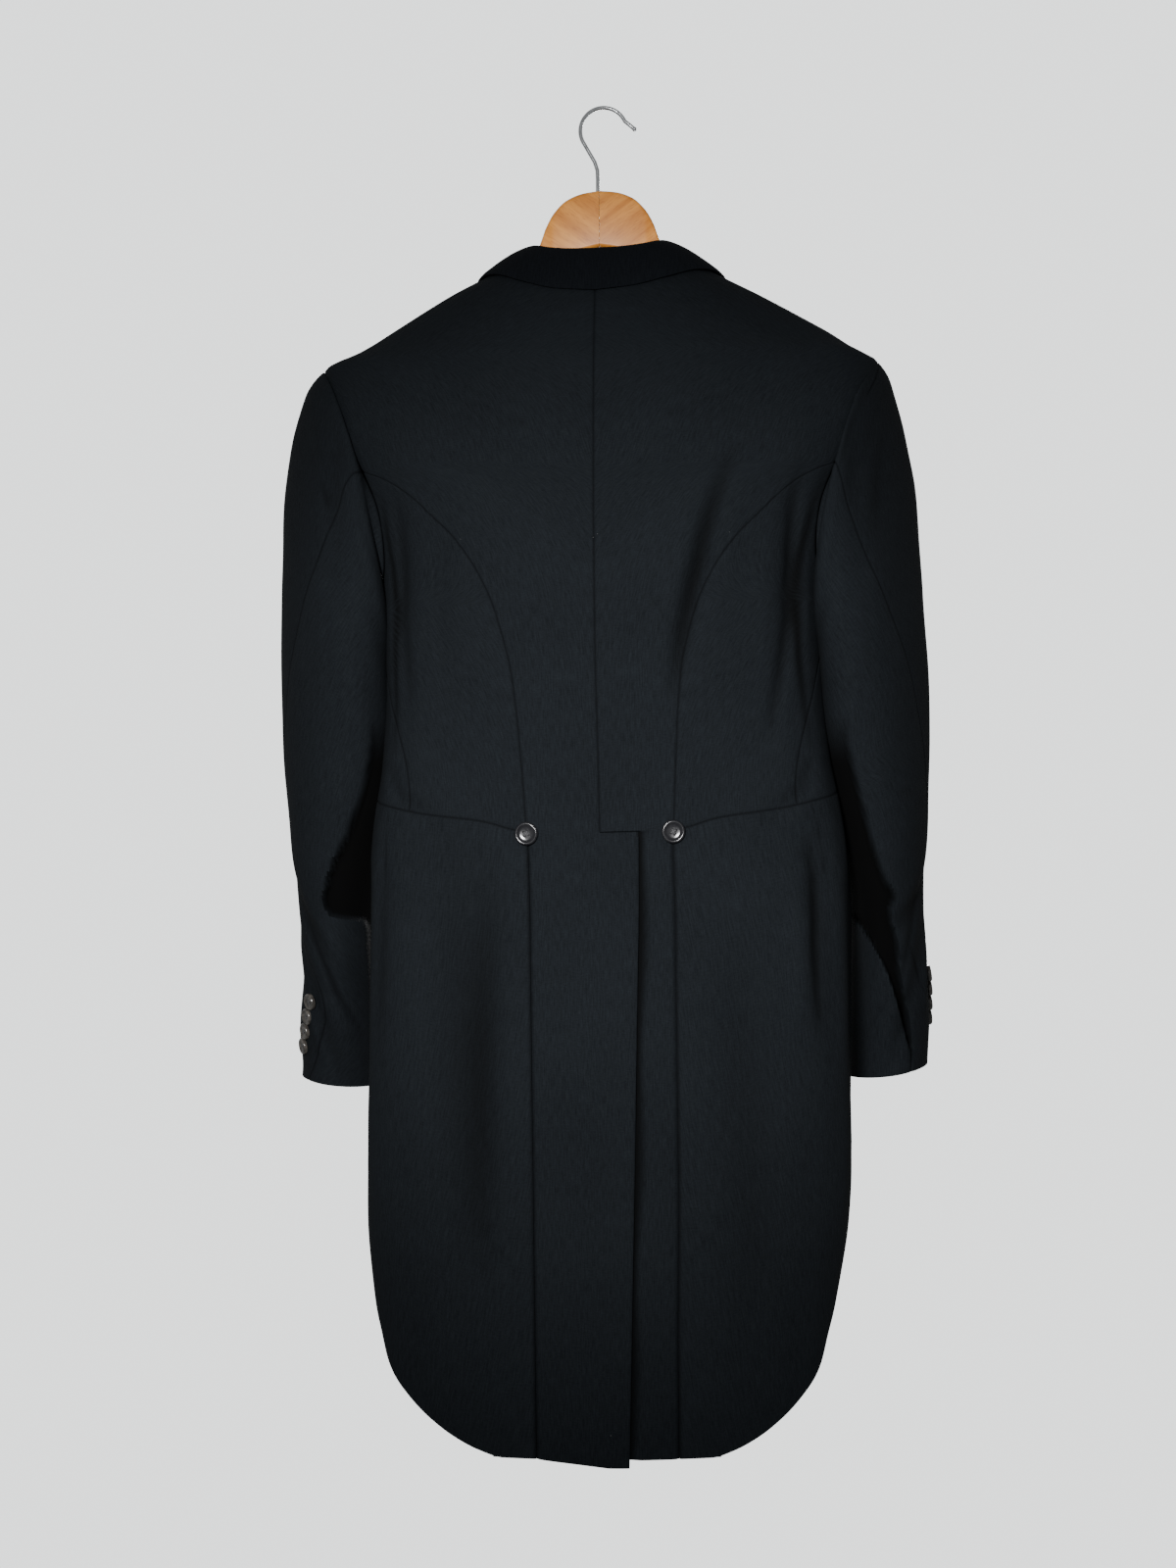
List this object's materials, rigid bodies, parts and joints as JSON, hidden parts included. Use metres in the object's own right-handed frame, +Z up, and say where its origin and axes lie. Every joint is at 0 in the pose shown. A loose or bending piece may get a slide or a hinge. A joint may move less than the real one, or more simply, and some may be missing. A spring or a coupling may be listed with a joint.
{
  "type": "morning coat on a coat hanger",
  "caption": "Black wool morning coat with long rounded tails, curved back seams, back pleats and vent, hanging on a wooden coat hanger with a wire hook.",
  "frame": {"origin": "under the top of the hanger's hook, where it bears on what holds it", "axes": "+Z up; +Y towards the coat's back; +X towards the wearer's left"},
  "size_m": [0.5768, 0.268, 1.1422],
  "materials": {
    "wool": "matte, fine upright weave",
    "wool_collar": "matte, fine weave",
    "horn_black": "gloss",
    "horn_grey": "satin",
    "beech": "clear lacquer, satin",
    "chrome": "polished"
  },
  "bodies": {
    "root": {"back_left": "wool", "back_right": "wool", "button_back_left": "horn_black", "button_back_right": "horn_black", "button_cuff_left_1": "horn_grey", "button_cuff_left_2": "horn_grey", "button_cuff_left_3": "horn_grey", "button_cuff_left_4": "horn_grey", "button_cuff_right_1": "horn_grey", "button_cuff_right_2": "horn_grey", "button_cuff_right_3": "horn_grey", "button_cuff_right_4": "horn_grey", "button_front": "horn_black", "collar_fall": "wool_collar", "collar_stand": "wool_collar", "front_left": "wool", "front_right": "wool", "hanger_left": "beech", "hanger_right": "beech", "hook": "chrome", "lapel_left": "wool_collar", "lapel_right": "wool_collar", "sidebody_left": "wool", "sidebody_right": "wool", "skirt_left": "wool", "skirt_right": "wool", "topsleeve_left": "wool", "topsleeve_right": "wool", "undersleeve_left": "wool", "undersleeve_right": "wool"}
  },
  "joints": []
}
